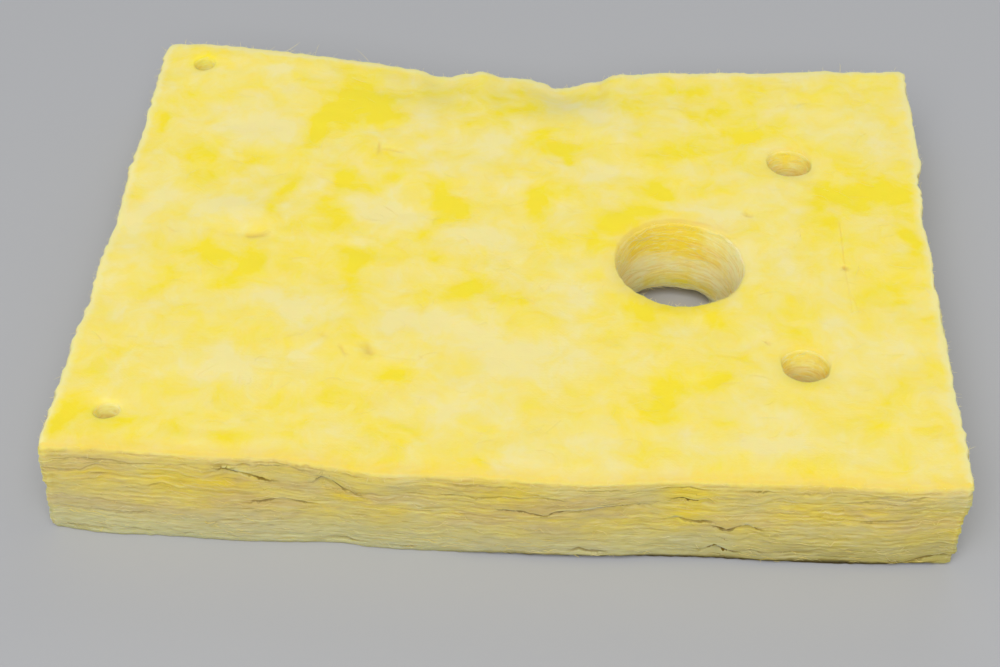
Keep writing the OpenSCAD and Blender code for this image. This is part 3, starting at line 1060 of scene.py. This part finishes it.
# ---------------------------------------------------------------------------------------------
# The fibres on the cut sides
# The knife tears the wool rather than shearing it, so the four sides are covered with the ends
# and loops of single glass fibres and thin bundles of them, lying along the layers they belong
# to. Finer ones stand up from the rims. They are part of the wool and move with it.
# ---------------------------------------------------------------------------------------------
strand_points = 5           # how many points there are along a fibre
off_floor = 0.25            # how far above the floor each point keeps at least
tip_share = 0.35            # how thick a fibre's ends are, as a share of its middle

for wall, first, last in zip(walls, first_of_wall, first_of_wall[1:]):
    # where a wall's points came to lie, and which way is out, to lay fibres on it
    wall.laid = placed[first:last].reshape(-1, row_count, 3)
    along = np.roll(wall.laid, -1, axis=0) - np.roll(wall.laid, 1, axis=0)
    away = np.cross(along, np.gradient(wall.laid, axis=1))
    wall.away = away / np.linalg.norm(away, axis=2, keepdims=True)


def on_wall(wall, grid, arc, row):
    """The value of a wall's grid at places between its columns and rows."""
    column = np.interp(arc % wall.arc[-1], wall.arc, np.arange(len(wall.arc)))
    row = np.clip(row, 0, row_count - 1.001)
    i, k = column.astype(int), row.astype(int)
    u, v = (column - i)[..., None], (row - k)[..., None]
    i, j = i % len(wall.plan), (i + 1) % len(wall.plan)
    return ((grid[i, k] * (1 - u) + grid[j, k] * u) * (1 - v)
            + (grid[i, k + 1] * (1 - u) + grid[j, k + 1] * u) * v)


def lying_strands(wall, arc_low, arc_high, count, lengths, rng, slant=1.2, loose=0.25,
                  rows=(2.5, row_count - 4.5)):
    """Fibres that lie along a wall's layers. A few have an end that stands clear of it."""
    t = np.linspace(-0.5, 0.5, strand_points)
    length = rng.uniform(*lengths, count)[:, None]
    arc = rng.uniform(arc_low, arc_high, count)[:, None] + length * t
    row = rng.uniform(*rows, count)[:, None]
    row = row + rng.normal(0, slant, count)[:, None] * t * length / 10
    row = row + rng.normal(0, 0.5, (count, strand_points))
    raised = rng.uniform(-0.05, 0.55, count)[:, None]
    free_end = (rng.random(count) < loose)[:, None] * rng.uniform(0.5, 3.0, count)[:, None]
    raised = raised + free_end * np.clip(t + 0.5, 0, 1) ** 2.5
    return on_wall(wall, wall.laid, arc, row) + on_wall(wall, wall.away, arc, row) * raised[..., None]


def rim_strands(wall, arc_low, arc_high, row_low, row_high, count, lengths, spread, rng):
    """Fibres rooted at a rim that stand out from it, each bent its own way."""
    t = np.linspace(0, 1, strand_points)[None, :, None]
    arc = rng.uniform(arc_low, arc_high, count)[:, None]
    row = rng.uniform(row_low, row_high, count)[:, None]
    root = on_wall(wall, wall.laid, arc, row)
    away = on_wall(wall, wall.away, arc, row)
    ahead = on_wall(wall, wall.laid, arc + 1.0, row) - on_wall(wall, wall.laid, arc - 1.0, row)
    ahead /= np.linalg.norm(ahead, axis=2, keepdims=True)
    heading = away + ahead * rng.normal(0, spread, (count, 1, 1)) + rng.normal(0, 0.35, (count, 1, 3))
    heading /= np.linalg.norm(heading, axis=2, keepdims=True)
    bend = rng.normal(0, 0.45, (count, 1, 3))
    length = rng.uniform(*lengths, (count, 1, 1)) * rng.uniform(0.4, 1, (count, 1, 1))
    return root - away * 0.4 + length * (heading * t + bend * t ** 2)


# A fibre is paler or yellower by its tone, as the wool is by its binder.
pale_glass = (0.86, 0.79, 0.44, 1)
yellow_glass = (0.86, 0.68, 0.14, 1)
glass_fibre, tree, shader = new_finish("glass fibre", 0.7, 0.3)
here = place("ShaderNodeTexCoord").outputs["Object"]
tree.links.new(blend_colour(mottled(here, painted("tone"), 0.008, 0.8), pale_glass, yellow_glass),
               shader["Base Color"])


def strand_piece(name, paths, radii, tones, rng):
    """Joins fibres into one mesh: each is a closed three-sided tube that tapers to its ends."""
    paths, radii, tones = np.concatenate(paths), np.concatenate(radii), np.concatenate(tones)
    paths[..., 2] = np.maximum(paths[..., 2], off_floor)
    count = len(paths)
    ahead = np.gradient(paths, axis=1)
    ahead /= np.linalg.norm(ahead, axis=2, keepdims=True) + 1e-9
    aside = np.cross(ahead, rng.normal(0, 1, (count, 1, 3)))
    aside /= np.linalg.norm(aside, axis=2, keepdims=True) + 1e-9
    other = np.cross(ahead, aside)
    taper = np.full(strand_points, 1.0)
    taper[[0, -1]] = tip_share
    size = (radii[:, None] * taper)[..., None]
    ring = [paths + size * (math.cos(a) * aside + math.sin(a) * other)
            for a in (0, 2 * math.pi / 3, 4 * math.pi / 3)]
    points = np.stack(ring, axis=2).reshape(-1, 3)
    base = np.arange(count)[:, None, None] * strand_points * 3
    k = np.arange(strand_points - 1)[None, :, None] * 3
    a = np.arange(3)[None, None, :]
    b = (a + 1) % 3
    sides = np.stack([base + k + a, base + k + b, base + k + 3 + b, base + k + 3 + a], -1).reshape(-1, 4)
    base = base[:, 0, 0]
    last = base + (strand_points - 1) * 3
    ends = np.vstack([np.column_stack([base + 2, base + 1, base]),
                      np.column_stack([last, last + 1, last + 2])])
    piece = smooth_object(name, points, sides, ends)
    paint(piece.data, "tone", np.repeat(tones, strand_points * 3))
    piece.data.materials.append(glass_fibre)
    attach(piece, "root")


# Where each side starts on the outline, measured along it from the front left corner.
front_start, right_start, rear_start, left_start = [
    outer_wall.arc[np.argmin(np.hypot(*(outline - corner).T))] for corner in
    ((left, end_front), (right, end_front), (right, end_rear), (left, end_rear))]
whole_way = outer_wall.arc[-1]


def cut_side_strands(name, arc_low, arc_high, count, seed, rim_tufts):
    """The fibres of two neighbouring sides, with thicker tufts along parts of their rims."""
    rng = np.random.default_rng(seed)
    way = (outer_wall, arc_low, arc_high)
    rim_count = count // 5
    short = lying_strands(*way, (count - rim_count) * 2 // 3, (3, 9), rng, 1.0, 0.25)
    long = lying_strands(*way, (count - rim_count) // 3, (10, 26), rng, 0.5, 0.12)
    rim = rim_strands(*way, row_count - 8, row_count - 2, rim_count * 3 // 5, (1.5, 5.0), 0.9, rng)
    foot = rim_strands(*way, 2, 30, rim_count * 2 // 5, (1.0, 4.0), 0.9, rng)
    paths = [short, long, rim, foot]
    radii = [rng.uniform(0.08, 0.17, len(short)), rng.uniform(0.07, 0.13, len(long)),
             rng.uniform(0.06, 0.11, len(rim)), rng.uniform(0.06, 0.12, len(foot))]
    tones = [rng.beta(1.3, 1.6, len(short)), rng.beta(1.3, 1.6, len(long)),
             rng.uniform(0, 0.25, len(rim)), rng.uniform(0, 0.5, len(foot))]
    for low, high, number, lengths in rim_tufts:
        paths.append(rim_strands(outer_wall, low, high, row_count - 6, row_count - 2, number, lengths,
                                 0.8, rng))
        radii.append(rng.uniform(0.07, 0.13, number))
        tones.append(rng.uniform(0, 0.25, number))
    strand_piece(name, paths, radii, tones, rng)


cut_side_strands("front_and_right_fibres", front_start, rear_start, 950, 101,
                 [(right_start, rear_start, 90, (1.0, 4.0))])
# the rear rim is the raggedest, and near its left end a few longer hairs stand up
cut_side_strands("rear_and_left_fibres", rear_start, whole_way, 1000, 102,
                 [(rear_start, left_start, 330, (1.2, 4.5)),
                  (left_start - 190, left_start + 10, 12, (6.0, 15.0)),
                  (left_start, whole_way, 120, (1.0, 4.5))])

# ---------------------------------------------------------------------------------------------
# The fibres in the holes
# The coring tube was twisted as it went in, and it swept the fibres round the holes' walls.
# A few whiskers reach across the rims.
# ---------------------------------------------------------------------------------------------
rng = np.random.default_rng(103)
paths, radii, tones = [], [], []
for wall, (_, _, radius) in zip(hole_walls, holes):
    round_it = wall.arc[-1]
    swept = lying_strands(wall, 0, round_it, round(round_it * 0.45), (0.3 * radius, 1.1 * radius), rng,
                          2.2, 0.25)
    whiskers = rim_strands(wall, 0, round_it, row_count - 9, row_count - 3, round(round_it * 0.9),
                           (0.8, 4.5), 0.8, rng)
    low_whiskers = rim_strands(wall, 0, round_it, 1, 12, round(round_it * 0.6), (1.0, 4.0), 0.8, rng)
    if radius == burner_radius:
        # longer whiskers on the front of the rim, and a pale fringe at the foot of the rear
        longer = rim_strands(wall, 0.15 * round_it, 0.36 * round_it, row_count - 6, row_count - 3, 34,
                             (2.5, 7.0), 0.7, rng)
        fringe = lying_strands(wall, 0.55 * round_it, 0.85 * round_it, 60, (5, 22), rng, 0.4, 0.3,
                               (6.0, 14.0))
        whiskers = np.concatenate([whiskers, longer])
        low_whiskers = np.concatenate([low_whiskers, fringe])
    paths += [swept, whiskers, low_whiskers]
    radii += [rng.uniform(0.08, 0.2, len(swept)), rng.uniform(0.07, 0.15, len(whiskers)),
              rng.uniform(0.08, 0.15, len(low_whiskers))]
    tones += [rng.beta(1.3, 1.3, len(swept)), rng.uniform(0, 0.3, len(whiskers)),
              rng.uniform(0, 0.3, len(low_whiskers))]
strand_piece("hole_fibres", paths, radii, tones, rng)

# ---------------------------------------------------------------------------------------------
# The fibres on the top face and the underside
# Single fibres of the board's outermost layer, which lie loosely on it, most of them along the
# mat's length, the way the wool was laid down.
# ---------------------------------------------------------------------------------------------


def clear_of_edges(x, y, room):
    """Whether each point lies on the face, at least room from its edges and its holes."""
    inside = ((x > left + room + 3) & (x < right - room - 3)
              & (y > front_edge(x) + room + 5) & (y < rear_edge(x) - room))
    for hole_x, hole_y, radius in holes:
        inside &= np.hypot(x - hole_x, y - hole_y) > radius + room
    return inside


def face_strands(count, lengths, rng):
    """Fibres that lie flat, nearly along the mat, each with its own curve: x, y and height over it."""
    t = np.linspace(-0.5, 0.5, strand_points)
    x = rng.uniform(left, right, count)[:, None]
    y = rng.uniform(front_crest, rear_corner, count)[:, None]
    length = rng.uniform(*lengths, count)[:, None]
    heading = rng.normal(0, 0.6, count)[:, None] + rng.normal(0, 0.8, count)[:, None] * t
    x = x + length * t * np.cos(heading)
    y = y + length * t * np.sin(heading)
    kept = clear_of_edges(x, y, 4).all(axis=1)
    x, y = x[kept], y[kept]
    raised = rng.uniform(-0.05, 0.15, len(x))[:, None]
    # one in twenty has an end that stands clear
    free_end = (rng.random(len(x)) < 0.05)[:, None] * rng.uniform(0.3, 1.2, len(x))[:, None]
    return x, y, raised + free_end * np.clip(t + 0.5, 0, 1) ** 2


rng = np.random.default_rng(104)
x, y, raised = face_strands(500, (5, 22), rng)
upper = np.dstack([x, y, top_height(x, y) + raised])
x, y, _ = face_strands(400, (6, 24), rng)
lower = np.dstack([x, y, np.zeros(x.shape)])
count = len(upper) + len(lower)
radii = [rng.uniform(0.05, 0.09, count)]
tones = [rng.beta(1.2, 1.6, count)]
strand_piece("face_fibres", [upper, lower], radii, tones, rng)

# ---------------------------------------------------------------------------------------------
# The floor
# A plain pale floor, painted and smooth, for the mat to lie on. It isn't part of the mat, and the
# mat isn't fixed to it.
# ---------------------------------------------------------------------------------------------
floor_half = 9.0
floor_mesh = bpy.data.meshes.new("floor")
floor_mesh.from_pydata([(-floor_half, -floor_half, 0), (floor_half, -floor_half, 0),
                        (floor_half, floor_half, 0), (-floor_half, floor_half, 0)], [], [(0, 1, 2, 3)])
floor = bpy.data.objects.new("floor", floor_mesh)
bpy.context.scene.collection.objects.link(floor)
floor_paint, _, shader = new_finish("pale floor", 0.8, 0.5)
shader["Base Color"].default_value = (0.43, 0.435, 0.45, 1)
floor_mesh.materials.append(floor_paint)

# ---------------------------------------------------------------------------------------------
# The light
# One wide soft lamp, high in front of the mat and a little to its left, in a pale even room. A
# faint one behind the mat keeps its rear rim from going dull.
# ---------------------------------------------------------------------------------------------
room = bpy.data.worlds.new("pale room")
bpy.context.scene.world = room
room.use_nodes = True
backdrop = room.node_tree.nodes["Background"].inputs
backdrop["Color"].default_value = (0.97, 0.985, 1.0, 1)
backdrop["Strength"].default_value = 0.28


def soft_lamp(name, stand, width, power):
    """A square lamp that stands at a place and shines at the mat's middle."""
    lamp = bpy.data.lights.new(name, "AREA")
    lamp.shape = "SQUARE"
    lamp.size = width
    lamp.energy = power
    lamp_object = bpy.data.objects.new(name, lamp)
    lamp_object.location = stand
    lamp_object.rotation_euler = (-Vector(stand)).to_track_quat("-Z", "Y").to_euler()
    bpy.context.scene.collection.objects.link(lamp_object)


soft_lamp("high front lamp", (-0.4, -4.7, 6.2), 7.0, 640.0)
soft_lamp("rear lamp", (0.9, 3.4, 2.2), 2.0, 14.0)

# ---------------------------------------------------------------------------------------------
# The camera
# It stands in front of the mat and a little to its right, and looks down on it. Its aim and its
# distance are in metres.
# ---------------------------------------------------------------------------------------------
camera_data = bpy.data.cameras.new("camera")
camera_data.lens = 71.28
camera_data.sensor_width = 36.0
camera_aim = Vector((-0.0103, -0.0586, 0.0375))
camera_distance = 1.4144
camera_turn = math.radians(3.073)
camera_tilt = math.radians(43.053)
camera_roll = math.radians(0.206)
camera = bpy.data.objects.new("camera", camera_data)
facing = (Matrix.Rotation(camera_turn, 3, "Z") @ Matrix.Rotation(math.pi / 2 - camera_tilt, 3, "X")
          @ Matrix.Rotation(camera_roll, 3, "Z"))
stand = camera_aim + facing @ Vector((0, 0, camera_distance))
camera.matrix_world = Matrix.Translation(stand) @ facing.to_4x4()
bpy.context.scene.collection.objects.link(camera)
bpy.context.scene.camera = camera

bpy.context.scene.view_settings.view_transform = "Standard"
